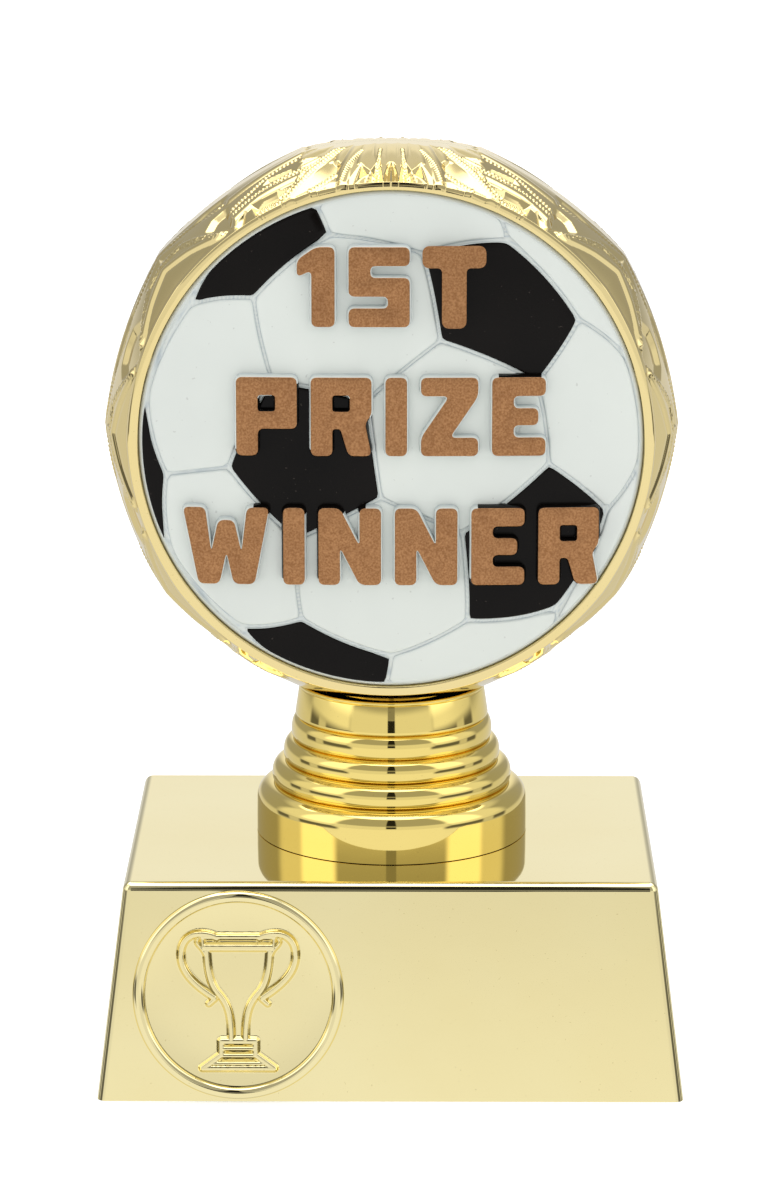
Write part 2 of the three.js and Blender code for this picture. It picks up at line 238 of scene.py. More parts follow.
class Nodes(Tree):
    """A new material's nodes."""

    def __init__(self, name):
        self.material = bpy.data.materials.new(name)
        super().__init__(self.material)
        self.shader = self.tree.nodes["Principled BSDF"]
        self.place = self.add("ShaderNodeTexCoord").outputs["Object"]

    def noise(self, scale, detail=3.0, roughness=0.5):
        node = self.add("ShaderNodeTexNoise", in_Scale=scale, in_Detail=detail, in_Roughness=roughness)
        self.link(self.place, node.inputs["Vector"])
        return node.outputs["Fac"]

    def mottle(self, scale, detail=3.0):
        return self.spread(self.noise(scale, detail), 0.35, 0.65)

    def blend(self, factor, first, second):
        node = self.add("ShaderNodeMix", data_type="RGBA")
        for source, socket in ((factor, 0), (first, 6), (second, 7)):
            self.link(source, node.inputs[socket])
        return node.outputs[2]

    def bump(self, height, strength, distance):
        node = self.add("ShaderNodeBump", in_Strength=strength, in_Distance=distance)
        self.link(height, node.inputs["Height"])
        self.feed("Normal", node.outputs["Normal"])

    def feed(self, socket, source):
        self.link(source, self.shader.inputs[socket])

    def set(self, **values):
        for key, value in values.items():
            self.feed(key.replace("_", " "), value)


def gold_material(name, colour, ripple, haze):
    """Vacuum-metallised gold: mirror bright, faintly rippled, with a thin haze and pin dust."""
    n = Nodes(name)
    n.set(Metallic=1.0)
    deeper = tuple(part * share for part, share in zip(colour, (0.985, 0.97, 0.93))) + (1.0,)
    clean = n.blend(n.mottle(38.0), colour + (1.0,), deeper)
    dust = n.spread(n.noise(2600.0, 1.0), 0.74, 0.80, 0.0, 0.35)
    n.feed("Base Color", n.blend(dust, clean, linear(188, 168, 110)))
    n.feed("Roughness", n.spread(n.noise(240.0), 0.3, 0.7, haze * 0.75, haze * 1.3))
    n.bump(n.noise(110.0, 2.0), ripple, 0.0004)
    return n.material


def enamel_white():
    """Glossy white enamel, with grey-blue painted shade laid on where the mesh's point attribute asks
    for it: in the recesses at panel feet, beside the seams and at letter feet.
    """
    n = Nodes("enamel_white")
    n.set(Roughness=0.24, Coat_Weight=0.35, Coat_Roughness=0.12)
    painted_shade = n.add("ShaderNodeAttribute", attribute_name="painted_shade").outputs["Fac"]
    # painted shade: the darkening of the recesses, broken up by noise
    broken_painted_shade = n.maths("MULTIPLY", painted_shade, n.spread(n.noise(420.0, 4.0), 0.3, 0.62, 0.45, 1.0))
    tone = n.blend(n.mottle(30.0), linear(210, 215, 209), linear(204, 209, 204))
    speck = n.spread(n.noise(1500.0, 1.0), 0.75, 0.79, 0.0, 0.5)
    tone = n.blend(speck, tone, linear(168, 170, 166))
    # the grey-blue colour here is painted shade in the recesses
    n.feed("Base Color", n.blend(broken_painted_shade, tone, linear(160, 174, 184)))
    n.bump(n.noise(160.0), 0.08, 0.0005)
    return n.material


def enamel_black():
    n = Nodes("enamel_black")
    n.set(Roughness=0.12, Specular_IOR_Level=0.12)
    speck = n.spread(n.noise(1900.0, 1.0), 0.76, 0.80, 0.0, 0.25)
    dark = n.blend(n.mottle(60.0), linear(15, 12, 10), linear(9, 7, 6))
    n.feed("Base Color", n.blend(speck, dark, linear(96, 88, 80)))
    n.bump(n.noise(140.0), 0.06, 0.0005)
    return n.material


def bronze_paint():
    """Bronze paint with a fine metallic grain and darker worn patches."""
    n = Nodes("bronze_paint")
    n.set(Metallic=0.7)
    worn = n.spread(n.noise(260.0, 6.0, 0.65), 0.5, 0.78, 0.0, 0.42)
    tone = n.blend(n.mottle(3600.0, 2.0), linear(150, 103, 63), linear(182, 133, 88))
    n.feed("Base Color", n.blend(worn, tone, linear(124, 80, 46)))
    n.feed("Roughness", n.spread(n.noise(900.0), 0.3, 0.7, 0.3, 0.5))
    n.bump(n.noise(1500.0, 2.0), 0.25, 0.0001)
    return n.material


def zinc_material():
    n = Nodes("zinc_plate")
    n.set(Metallic=1.0)
    n.feed("Base Color", n.blend(n.mottle(300.0, 4.0), linear(186, 190, 196), linear(206, 204, 190)))
    n.feed("Roughness", n.spread(n.noise(800.0), 0.3, 0.7, 0.25, 0.42))
    n.bump(n.noise(1200.0), 0.1, 0.0002)
    return n.material


def sheet_material(name, first, second, cells):
    """Closed-cell foam sheet: matt, with fine pores."""
    n = Nodes(name)
    n.set(Roughness=0.85)
    pores = n.add("ShaderNodeTexVoronoi", in_Scale=cells)
    n.link(n.place, pores.inputs["Vector"])
    depth = n.spread(pores.outputs["Distance"], 0.0, 0.6)
    # the pits of the pores are painted darker: painted shade in the pores
    n.feed("Base Color", n.blend(depth, second, first))
    n.bump(depth, 0.5, 0.0002)
    return n.material


PALE_GOLD = (0.89, 0.79, 0.44)
RICH_GOLD = (0.90, 0.72, 0.24)
CUT_GOLD = (0.88, 0.73, 0.36)
GOLD = gold_material("metallised_gold", PALE_GOLD, 0.02, 0.04)
GOLD_RISER = gold_material("metallised_gold_riser", RICH_GOLD, 0.02, 0.035)
GOLD_CUT = gold_material("metallised_gold_cut", CUT_GOLD, 0.03, 0.06)
WHITE = enamel_white()
BLACK = enamel_black()
BRONZE = bronze_paint()
ZINC = zinc_material()
BLACK_SHEET = sheet_material("black_foam", linear(34, 34, 37), linear(16, 16, 18), 1600.0)
WHITE_FOAM = sheet_material("white_foam", linear(222, 222, 216), linear(190, 190, 184), 1400.0)

# ---- plinth ----


def leaning_block(name, width, depth, bottom, top, corner, materials):
    """A block whose sides lean in with the plinth's draft, with rounded upright and top edges."""
    lean = BASE_DRAFT * (top - bottom) / BASE_HEIGHT

    def corner_at(x, y, z):
        inset = lean if z > 0 else 0
        spot = (math.copysign(width / 2 - inset, x), math.copysign(depth / 2 - inset, y))
        return spot + (top if z > 0 else bottom,)

    upper = [(lambda a, b: max(a, b) > (bottom + top) / 2, corner, 7)] if corner else []
    return bevelled_box(name, corner_at, upper, materials)


def on_front(x, up):
    """The frame of a spot on the sloping front: its +Z stands square on the face."""
    spot = Vector((x, -BASE_DEPTH / 2 + up * math.sin(SLOPE), up * math.cos(SLOPE)))
    turn = Matrix.Rotation(math.pi / 2 - SLOPE, 4, "X")
    return Matrix.Translation(spot * MM) @ turn


def place(thing, matrix):
    thing.data.transform(matrix)
    return thing


def bar(name, radius, bottom, top, segments=96):
    profile = [(0.001, bottom), (radius, bottom), (radius, top), (0.001, top)]
    return lathe(name, profile, segments, [])


def make_plinth():
    """The hollow plinth with its bead ring, the round recess and the rod's hole."""
    bead_radius, bead_half = CENTRE_RADIUS + 0.9, 0.87
    recess_radius, recess_depth = CENTRE_RADIUS + 0.03, 1.5
    rod_hole_radius = 3.4
    plinth = leaning_block("plinth", BASE_WIDTH, BASE_DEPTH, 0, BASE_HEIGHT, 1.15, [GOLD])
    room_width, room_depth = BASE_WIDTH - 2 * BASE_WALL, BASE_DEPTH - 2 * BASE_WALL
    room = leaning_block("room", room_width, room_depth, -0.5, BASE_HEIGHT - BASE_WALL, 0, [])
    carve(plinth, room, "DIFFERENCE")
    ring = [
        (bead_radius + bead_half * math.cos(a), bead_half * 0.95 * math.sin(a))
        for a in round_steps(28)
    ]
    bead = lathe("bead", ring, 240, [])
    carve(plinth, place(bead, on_front(CENTRE_X, CENTRE_UP)), "UNION")
    recess = bar("recess", recess_radius, -recess_depth, 3, 240)
    carve(plinth, place(recess, on_front(CENTRE_X, CENTRE_UP)), "DIFFERENCE")
    carve(plinth, bar("rod_hole", rod_hole_radius, 20, 40), "DIFFERENCE")
    flatten_normals(plinth, 38)
    return plinth


# ---- round centre ----


def segment_distance(x, y, line):
    """Distance from each point to a polyline."""
    best = np.full(x.shape, 1e9)
    for (ax, ay), (bx, by) in zip(line[:-1], line[1:]):
        dx, dy = bx - ax, by - ay
        t = np.clip(((x - ax) * dx + (y - ay) * dy) / (dx * dx + dy * dy), 0, 1)
        best = np.minimum(best, np.hypot(x - ax - t * dx, y - ay - t * dy))
    return best


def curve_points(controls, steps=14):
    """Points of joined cubic curves: start, then three controls for each curve."""
    controls = np.asarray(controls, float)
    t = np.linspace(0, 1, steps + 1)[:, None]
    parts = [controls[:1]]
    for k in range(0, len(controls) - 1, 3):
        a, b, c, d = controls[k:k + 4]
        part = (1 - t) ** 3 * a + 3 * t * (1 - t) ** 2 * b + 3 * t ** 2 * (1 - t) * c + t ** 3 * d
        parts.append(part[1:])
    return np.concatenate(parts)


def cup_strokes():
    """The raised lines of a plain two-handled cup, each with its half width."""
    bowl = curve_points([(-4.4, 6.2), (-4.3, 3.4), (-3.9, 1.4), (-2.7, 0.1),
                         (-1.6, -1.2), (-1.0, -2.4), (-1.0, -6.2)])
    handle = curve_points([(-3.0, 8.1), (-5.4, 9.2), (-8.0, 8.6), (-8.0, 5.6),
                           (-8.0, 3.2), (-6.2, 1.4), (-3.4, -0.4)])
    curl = curve_points([(-5.6, 7.9), (-6.2, 7.0), (-5.0, 6.9), (-4.6, 5.6)], 8)
    spur = [(-3.3, -0.6), (-4.1, -1.3)]
    strokes = [([(-5.0, 8.2), (5.0, 8.2)], 0.36), ([(-4.6, 6.7), (4.6, 6.7)], 0.5)]
    for line, half in ((bowl, 0.42), (handle, 0.44), (curl, 0.2), (spur, 0.34)):
        strokes += [(line, half), ([(-x, y) for x, y in line], half)]
    strokes += [([(-5.0, 8.2), (-4.9, 6.7)], 0.25), ([(5.0, 8.2), (4.9, 6.7)], 0.25)]
    foot = [(-2.4, -6.6), (-2.4, -8.5), (-5.0, -10.4), (5.0, -10.4), (2.4, -8.5), (2.4, -6.6),
            (-2.4, -6.6)]
    strokes.append((foot, 0.42))
    strokes += [([(-2.2, -7.6), (2.2, -7.6)], 0.3), ([(-2.4, -8.6), (2.4, -8.6)], 0.32)]
    strokes.append(([(-3.6, -9.7), (3.6, -9.7)], 0.3))
    return strokes


def make_round_centre():
    """The disc in the recess: a nearly square grid squeezed into a circle, raised into the cup."""
    cells, front, relief, shoulder, back_depth = 300, -0.42, 0.66, 0.5, -1.2
    u, v = np.meshgrid(np.linspace(-1, 1, cells), np.linspace(-1, 1, cells))
    x = CENTRE_RADIUS * u * np.sqrt(1 - v * v / 2)
    y = CENTRE_RADIUS * v * np.sqrt(1 - u * u / 2)
    height = np.zeros_like(x)
    for line, half in cup_strokes():
        inside = np.clip((half + shoulder / 2 - segment_distance(x, y, line)) / shoulder, 0, 1)
        height = np.maximum(height, relief * np.sin(inside * math.pi / 2) ** 1.3)
    dish = 0.1 * np.clip(np.hypot(x, y) / CENTRE_RADIUS, 0, 1) ** 5
    top = np.stack([x, y, front + height + dish], -1).reshape(-1, 3)
    faces = grid_faces(cells, cells, wrap=False)
    index = np.arange(cells * cells).reshape(cells, cells)
    rim = [*index[0, :-1], *index[:-1, -1], *index[-1, :0:-1], *index[:0:-1, 0]]
    back = top[rim].copy()
    back[:, 2] = back_depth
    first, count = len(top), len(rim)
    for i in range(count):
        after = (i + 1) % count
        faces.append([int(rim[i]), first + i, first + after, int(rim[after])])
    faces.append([first + i for i in reversed(range(count))])
    disc = mesh_from("round_centre", np.concatenate([top, back]), faces, [GOLD], sharp=60)
    return place(disc, on_front(CENTRE_X, CENTRE_UP))


# ---- riser ----
# Each rib's widest radius, then the radius and the height of the crease above it.
RISER_RIBS = [(17.2, 15.05, 41.25), (15.55, 13.95, 44.4), (14.4, 13.25, 47.7)]
RISER_FOOT = 19.4
FLOOR_OF_CUP = 49.3


def make_riser():
    """The turned riser: foot band, three ribs that get smaller upwards, neck and hollow inside."""
    bottom, top = BASE_HEIGHT + 0.04, RISER_TOP + 1.5
    seam, shoulder = 33.2, 35.4
    outline = [(RISER_FOOT - 0.04, bottom), (RISER_FOOT + 0.04, bottom + 0.06)]
    outline += [(RISER_FOOT + 0.04, seam), (RISER_FOOT, shoulder)]
    crease, low = 16.7, 37.95
    outline += quarter((RISER_FOOT, shoulder), (crease, low), 14, 0.9)
    for widest, next_crease, next_low in RISER_RIBS:
        swell = low + (next_low - low) * 0.36
        outline += [(crease - 0.12, low + 0.02)]
        under = quarter((widest, swell), (crease - 0.05, low + 0.06), 7, 0.85)
        outline += under[::-1] + [(widest, swell)]
        outline += quarter((widest, swell), (next_crease, next_low), 12, 0.85)
        crease, low = next_crease, next_low
    outline += [(13.3, low + 0.03), (13.72, low + 0.16), (13.85, low + 0.4), (13.8, low + 0.7)]
    outline += [(13.28, top - 0.75), (13.22, top - 0.62), (13.32, top - 0.5), (13.46, top - 0.32)]
    outline += [(13.46, top - 0.12), (13.34, top), (12.1, top), (11.95, top - 0.15)]
    outline += [(11.95, FLOOR_OF_CUP), (3.4, FLOOR_OF_CUP), (3.4, FLOOR_OF_CUP - 2)]
    outline += [(11.1, FLOOR_OF_CUP - 2), (11.1, 44.4), (11.9, 41.3), (13.0, 38.0)]
    outline += [(14.6, 36.0), (17.4, 34.0), (17.4, bottom)]
    return lathe("riser_turned", outline, 256, [GOLD_RISER], sharp=48)


# ---- ball holder ----
# The relief is worked out on the ball's skin, flat: x runs round it from a fan's middle and
# d runs forward from the ball's middle plane, in millimetres. Outlines give x in degrees.
AROUND = 0.69  # millimetres round the skin for one degree
BEAD_RADIUS, BEAD_HEIGHT = 0.3, 0.22
FAN_HALF = 37.5  # degrees from the fan's middle that get finer columns
FINE_SHARE = 0.53  # the share of the columns that go there


def on_skin(line):
    return [(a * AROUND, b) for a, b in line]


def polygon_inside(x, d, corners):
    """Distance inside a polygon, negative outside."""
    corners = on_skin(corners)
    away = segment_distance(x, d, corners + corners[:1])
    inside = np.zeros(x.shape, bool)
    for (ax, ay), (bx, by) in zip(corners, corners[1:] + corners[:1]):
        if ay == by:
            continue
        crosses = (ay > d) != (by > d)
        inside ^= crosses & (x < (bx - ax) * (d - ay) / (by - ay) + ax)
    return np.where(inside, away, -away)


def facet(x, d, corners, hinge, slope, wall):
    """A flat cut that starts level at its hinge line and gets deeper away from it."""
    inside = polygon_inside(x, d, corners)
    (ax, ay), (bx, by) = on_skin(hinge)
    length = math.hypot(bx - ax, by - ay)
    reach = np.abs((x - ax) * (by - ay) - (d - ay) * (bx - ax)) / length
    return -np.clip(np.minimum(reach * slope, inside * wall), 0, None)


def rib(x, d, line, half, height):
    away = segment_distance(x, d, on_skin(line)) / half
    return height * np.clip(1 - away ** 2, 0, 1)


def bead_rows(line, rows, spacing, spread):
    """Centres of the beads along a line, in staggered rows that fan out towards its end."""
    line = np.array(on_skin(line))
    steps = np.hypot(*np.diff(line, axis=0).T)
    along = np.concatenate([[0], np.cumsum(steps)])
    centres = []
    for row in range(rows):
        offset = row - (rows - 1) / 2
        for s in np.arange((row % 2) * spacing / 2, along[-1], spacing):
            here, ahead, behind = (
                np.array([np.interp(spot, along, line[:, k]) for k in (0, 1)])
                for spot in (s, min(s + 0.1, along[-1]), max(s - 0.1, 0))
            )
            run = ahead - behind
            side = np.array([-run[1], run[0]]) / max(np.hypot(*run), 1e-6)
            gap = spread[0] + (spread[1] - spread[0]) * s / along[-1]
            centres.append(here + side * offset * gap)
    return centres


def beads(x, d, bands):
    """Small half-round beads along each band: a line, its rows, their spacing and their spread."""
    relief = np.zeros(x.shape)
    for band in bands:
        own = np.zeros(x.shape)
        for cx, cd in bead_rows(*band):
            near = (np.abs(x - cx) < BEAD_RADIUS) & (np.abs(d - cd) < BEAD_RADIUS)
            if near.any():
                away = np.hypot(x[near] - cx, d[near] - cd) / BEAD_RADIUS
                swell = BEAD_HEIGHT * np.sqrt(np.clip(1 - away ** 2, 0, 1))
                own[near] = np.maximum(own[near], swell)
        relief += own
    return relief


# Bands of beads: a line, the number of rows, their spacing, and how far apart the rows start and end.
FAN_BEADS = [
    ([(2.2, 6.0), (2.5, 9.0), (2.9, 12.0), (3.0, 15.3)], 1, 0.6, (0.4, 0.4)),
    ([(3.6, 13.3), (4.4, 15.4)], 3, 0.6, (0.55, 0.75)),
    ([(6.0, 6.2), (7.2, 8.2), (9.0, 11.0), (10.9, 15.4)], 1, 0.6, (0.4, 0.4)),
    ([(11.6, 12.8), (14.4, 14.2), (18.2, 15.4)], 2, 0.6, (0.5, 0.5)),
    ([(8.2, 2.6), (10.3, 4.8), (12.8, 7.1), (14.7, 8.7), (17.0, 10.4), (19.3, 12.3), (21.8, 13.9),
      (25.2, 15.6)], 2, 0.62, (0.5, 1.2)),
    ([(16.6, 9.4), (20.5, 9.2), (24.6, 9.6), (29.5, 10.3), (36.0, 11.9)], 2, 0.62, (0.55, 0.65)),
    ([(18.6, 5.0), (22.0, 5.2), (26.1, 6.2), (30.0, 8.2), (36.0, 10.2)], 1, 0.62, (0.5, 0.5)),
    ([(23.4, 14.3), (30.0, 14.5)], 4, 0.6, (0.6, 0.75)),
]
SIDE_BEADS = [
    ([(18.0, 7.4), (12.6, 7.7), (9.4, 9.8), (5.6, 12.7), (2.2, 15.0)], 2, 0.64, (0.55, 0.7)),
    ([(0.0, 5.4), (7.0, 5.2), (13.0, 3.8), (18.0, 2.4)], 1, 0.64, (0.5, 0.5)),
]
# Raised ribs: a line, half its width and its height.
FAN_RIBS = [
    ([(0.0, 0.0), (0.0, 10.6)], 0.9, 0.12),
    ([(2.4, 0.0), (2.4, 8.0), (2.0, 11.0)], 0.8, 0.12),
    ([(4.2, 0.0), (5.0, 6.0), (5.9, 10.4)], 0.9, 0.14),
    ([(5.2, 0.0), (7.7, 7.0), (9.6, 11.4), (10.7, 16.0)], 1.0, 0.26),
    ([(7.6, 0.0), (9.8, 6.0), (10.6, 8.8)], 0.9, 0.16),
    ([(9.4, 0.4), (12.0, 6.4), (14.0, 8.3), (17.4, 11.2), (22.8, 15.9)], 0.9, 0.26),
    ([(12.0, 0.2), (14.4, 3.8), (18.0, 5.8)], 1.0, 0.18),
    ([(14.0, 0.2), (19.0, 3.2), (26.5, 4.5), (36.0, 6.4)], 1.1, 0.22),
    ([(18.8, 10.9), (28.4, 11.3), (36.0, 13.1)], 1.1, 0.32),
]


def both(half):
    """A facet's outline mirrored about the fan's or the side's middle."""
    return half + [(-a, b) for a, b in reversed(half)]


# Flat cuts of the fan: outline, hinge line, slope and how steep the walls are.
FAN_CUTS = [
    # the long leaf
    ([(21.4, 15.7), (18.9, 13.9), (17.0, 12.2), (15.1, 10.3), (13.2, 9.0), (11.9, 8.6),
      (10.7, 9.3), (10.4, 10.9), (11.5, 12.4), (14.1, 13.9), (17.0, 15.0)],
     [(21.2, 15.7), (12.6, 8.6)], 0.42, 1.3),
    # the strip beside the kites, the dark triangle in it and the kite
    ([(6.0, 10.8), (6.5, 10.4), (9.9, 15.9), (7.9, 15.9), (7.6, 15.4)],
     [(6.4, 10.5), (9.9, 15.9)], 0.5, 1.0),
    ([(6.1, 10.8), (4.0, 13.2), (7.8, 15.4)], [(4.0, 13.2), (7.8, 15.4)], 0.8, 1.3),
    ([(7.6, 15.9), (4.4, 12.9), (2.3, 9.4), (1.6, 15.9)], [(7.2, 9.0), (1.7, 9.0)], 0.2, 1.2),
    # small leaves at the lip and further back
    ([(16.6, 15.9), (13.2, 14.8), (11.3, 14.9), (11.1, 15.9)],
     [(16.4, 14.8), (11.3, 14.8)], 0.5, 1.2),
    ([(19.4, 8.5), (17.4, 6.2), (14.4, 6.0), (14.0, 7.4), (16.6, 8.7)],
     [(19.4, 8.6), (14.2, 6.0)], 0.5, 1.0),
    # the cuts at the corner of the side
    ([(19.4, 9.0), (20.5, 7.7), (26.0, 7.1), (27.4, 8.5)], [(19.6, 9.1), (26.0, 8.7)], 0.8, 1.4),
    ([(21.8, 12.9), (24.5, 12.1), (30.9, 12.3), (30.6, 15.4), (25.8, 15.6)],
     [(21.0, 15.9), (30.9, 15.9)], 0.3, 1.0),
    ([(32.2, 12.9), (30.4, 15.8), (36.0, 15.8), (36.0, 14.4)],
     [(30.6, 15.8), (32.2, 13.0)], 0.4, 1.2),
    # the petal in the fan's middle, and the corner at the ball's middle plane
    (both([(1.7, 15.9), (1.5, 13.5), (0.75, 10.9), (0.2, 10.5)]),
     [(0.0, 15.9), (0.0, 10.7)], 0.9, 1.1),
    ([(17.6, 0.3), (17.6, 3.6), (15.6, 2.6), (14.4, 0.3)], [(14.4, 0.3), (17.4, 3.8)], 0.3, 1.0),
]


def fan_relief(x, d):
    """The star-burst fan on the middle of a side; x is the distance from the fan's middle."""
    relief = np.zeros(x.shape)
    for outline, hinge, slope, wall in FAN_CUTS:
        relief += facet(x, d, outline, hinge, slope, wall)
    raised = np.zeros(x.shape)
    for line, half, height in FAN_RIBS:
        raised = np.maximum(raised, rib(x, d, line, half, height))
    return relief + raised + beads(x, d, FAN_BEADS)


def side_relief(x, d):
    """The other sides: a sunk gem in the middle, a flat triangle at each corner, and beads and
    a rib between them; x is the distance from the side's middle."""
    gem = both([(0.6, 15.0), (3.6, 13.4), (6.2, 11.7), (6.4, 10.3), (4.0, 8.4), (0.4, 8.0)])
    inside = polygon_inside(x, d, gem)
    relief = -np.clip(np.minimum(inside * 0.55, 0.62), 0, None)
    lozenge = both([(0.4, 7.0), (5.0, 6.2), (9.6, 4.6), (5.0, 3.4), (0.4, 3.2)])
    relief -= np.clip(np.minimum(polygon_inside(x, d, lozenge) * 0.4, 0.3), 0, None)
    triangle = [(18.0, 10.9), (4.4, 15.3), (31.6, 15.3)]
    relief += facet(x, d, triangle, [(18.0, 10.9), (4.4, 15.3)], 0.26, 1.4)
    shoulder = [(18.0, 3.4), (13.6, 5.0), (10.6, 6.6), (18.0, 6.4)]
    relief += facet(x, d, shoulder, [(18.0, 3.4), (10.6, 6.6)], 0.3, 1.2)
    raised = rib(x, d, [(18.0, 9.5), (11.0, 11.6), (3.6, 14.6)], 0.9, 0.42)
    raised = np.maximum(raised, rib(x, d, [(18.0, 1.2), (9.0, 2.4), (0.0, 2.4)], 0.6, 0.3))
    return relief + raised + beads(x, d, SIDE_BEADS)


def side_share(turn):
    """The ten-sided outline, as a share of the radius at its corners."""
    from_middle = np.abs((turn + SIDE / 2) % SIDE - SIDE / 2)
    straight = math.cos(math.radians(SIDE / 2)) / np.cos(np.radians(from_middle))
    return 1 - BALL_FLATNESS + BALL_FLATNESS * straight


def skin_relief(turn, d, reach):
    """Relief all round: fans at the top and the foot, garlands on the sides between them."""
    d = np.broadcast_to(d * LIP / reach, (d.shape[0], turn.shape[1])).copy()
    from_fan = np.minimum(np.abs(turn), 180 - np.abs(turn))
    from_fan = np.broadcast_to(from_fan, d.shape)
    side = np.abs((from_fan + SIDE / 2) % SIDE - SIDE / 2)
    fan = fan_relief(from_fan * AROUND, d)
    rest = side_relief(side * AROUND, d)
    share = np.clip((from_fan - 35.0) / 2.0, 0, 1)
    relief = fan * (1 - share) + rest * share
    stop = LIP + 0.1 - 0.7 * share
    fade = np.clip((stop - d) / 0.5, 0, 1)
    fade = np.where((relief < 0) & (share < 0.5), 1.0, fade)
    plain_foot = np.clip((158.0 - np.abs(turn)) / 5.0, 0, 1)
    return relief * np.clip((d - 0.2) / 1.2, 0, 1) * fade * plain_foot


def make_ball_half(name, lip, lip_outer, floor, columns, rows, front):
    """Half the holder: patterned skin, smooth lip ring and socket."""
    fine = int(columns * FINE_SHARE)
    turn = np.concatenate([
        np.linspace(-FAN_HALF, FAN_HALF, fine, endpoint=False),
        np.linspace(FAN_HALF, 360 - FAN_HALF, columns - fine, endpoint=False),
    ])[None, :]
    turn = (turn + 180) % 360 - 180
    d = np.linspace(0.02, lip - 0.08, rows)[:, None]
    smooth = np.clip((d - BALL_BAND) / (lip - BALL_BAND), 0, 1)
    radius = BALL_RADIUS - (BALL_RADIUS - lip_outer) * smooth ** 1.62
    round_share = 1 - (1 - side_share(turn)) * (1 - 0.75 * smooth)
    skin = radius * round_share + skin_relief(turn, d, lip)
    skin = np.minimum(skin, BALL_RADIUS * side_share(turn))
    skin = np.maximum(skin, LIP_INNER + 0.5)
    rings = [(d_row[0], ring) for d_row, ring in zip(d, skin)]
    rings.append((lip, np.minimum(lip_outer, skin[-1]) - 0.07))
    lip_and_socket = [(lip, LIP_INNER + 0.2), (lip - 0.03, LIP_INNER + 0.06), (lip - 0.1, LIP_INNER),
                      (floor, LIP_INNER - 0.02), (floor, 0.02)]
    inner_wall = [(floor - 1.8, 0.02), (floor - 1.8, 33.0), (5.0, 36.0), (0.02, 37.2)]
    rings += [(depth, np.full(columns, r)) for depth, r in lip_and_socket + inner_wall]
    depth = np.array([ring[0] for ring in rings])[:, None]
    radii = np.stack([ring[1] for ring in rings])
    angle = np.radians(turn)
    sign = -1 if front else 1
    points = np.stack([
        radii * np.sin(angle), sign * depth + 0 * radii, BALL_Z + radii * np.cos(angle),
    ], -1)
    faces = grid_faces(len(rings), columns, closed=True)
    if front:
        faces = [face[::-1] for face in faces]
    return mesh_from(name, points.reshape(-1, 3), faces, [GOLD_CUT], sharp=50)


def make_foot_collar():
    """The short round foot under the ball that sits in the riser's cup."""
    bottom, top = RISER_TOP - 1.5, RISER_TOP + 1.9
    profile = [(3.5, bottom), (10.2, bottom), (10.5, bottom + 0.3), (10.6, top), (3.5, top)]
    return lathe("foot_collar", profile, 128, [GOLD_CUT], sharp=40)


# ---- football plaque ----
# The plaque shows a football's panels as if drawn on a ball of radius BALL_SCALE. Each panel is
# a plane; the panel whose plane lies furthest out in a direction is the one seen there.
BALL_SCALE = 35.1
SEAM_HALF = 0.2
CORNER_SOFTNESS = 0.16
PANEL_RISE = 0.36
PANEL_ROUND = 0.36  # how far in from a panel's foot its edge is rounded
PANEL_STEPS = 120
PLAQUE_STEPS = 480
PLAQUE_BACK = 11.7
BLACK_COUNT = 12
BLACK_REACH, WHITE_REACH = 0.9393, 0.9149  # how far out the panels lie on a ball of radius 1
DRAWN_PANELS = [(2, 0.927), (4, 0.914)]  # black panels off the true pattern, and their reach


def unit(vectors):
    vectors = np.asarray(vectors, float)
    return vectors / np.linalg.norm(vectors, axis=-1, keepdims=True)


# Where the six black panels that show are, as directions: right, up and forward.
PANEL_AXES = unit([
    (-0.32, -0.056, 0.946), (-0.54, 0.76, 0.36), (0.45, 0.576, 0.682),
    (-0.985, -0.16, 0.06), (0.59, -0.456, 0.666), (-0.31, -0.88, 0.36),
])


def nearest(axes, axis):
    return np.argmin(np.linalg.norm(axes - axis, axis=1))


def icosahedron_axes():
    """The twelve black panels of a true football, turned to fit PANEL_AXES as well as they can."""
    golden = (1 + math.sqrt(5)) / 2
    base = []
    for a in (-1, 1):
        for b in (-golden, golden):
            base += [(0, a, b), (a, b, 0), (b, 0, a)]
    base = unit(base)

    def triad(u, v):
        w = unit(np.cross(u, v))
        return np.stack([u, w, np.cross(u, w)], 1)

    neighbour = next(axis for axis in base[1:] if axis @ base[0] > 0.4)
    rough = base @ (triad(PANEL_AXES[0], PANEL_AXES[2]) @ triad(base[0], neighbour).T).T
    source = rough[[nearest(rough, axis) for axis in PANEL_AXES]]
    u, _, vt = np.linalg.svd(source.T @ PANEL_AXES)
    return rough @ u @ np.diag([1, 1, np.sign(np.linalg.det(u @ vt))]) @ vt


def football_planes():
    """Outward plane vectors of a football's panels, black five-sided ones first."""
    true = icosahedron_axes()
    black, reach = true.copy(), np.full((BLACK_COUNT, 1), BLACK_REACH)
    for index, panel_reach in DRAWN_PANELS:
        drawn = nearest(true, PANEL_AXES[index])
        black[drawn] = PANEL_AXES[index]
        reach[drawn] = panel_reach
    neighbours = true @ true.T > 0.4
    white = [
        black[i] + black[j] + black[k] for i, j, k in itertools.combinations(range(BLACK_COUNT), 3)
        if neighbours[i, j] and neighbours[j, k] and neighbours[i, k]
    ]
    return np.concatenate([black / reach, unit(white) / WHITE_REACH])


PLANES = football_planes()


def on_ball(x, y):
    """The direction in which a spot on the plaque is seen, on a last axis of three."""
    px, py = x / BALL_SCALE, y / BALL_SCALE
    return np.stack([px, py, np.sqrt(np.clip(1 - px * px - py * py, 0.004, 1))], -1)


def from_seam(plane, x, y):
    """Distance on the plaque from the seam where plane, the difference of two panels', is zero."""
    px, py, pz = np.moveaxis(on_ball(x, y), -1, 0)
    a, b, c = plane
    slope = np.hypot(a - c * px / pz, b - c * py / pz) / BALL_SCALE
    return (a * px + b * py + c * pz) / np.maximum(slope, 1e-4)


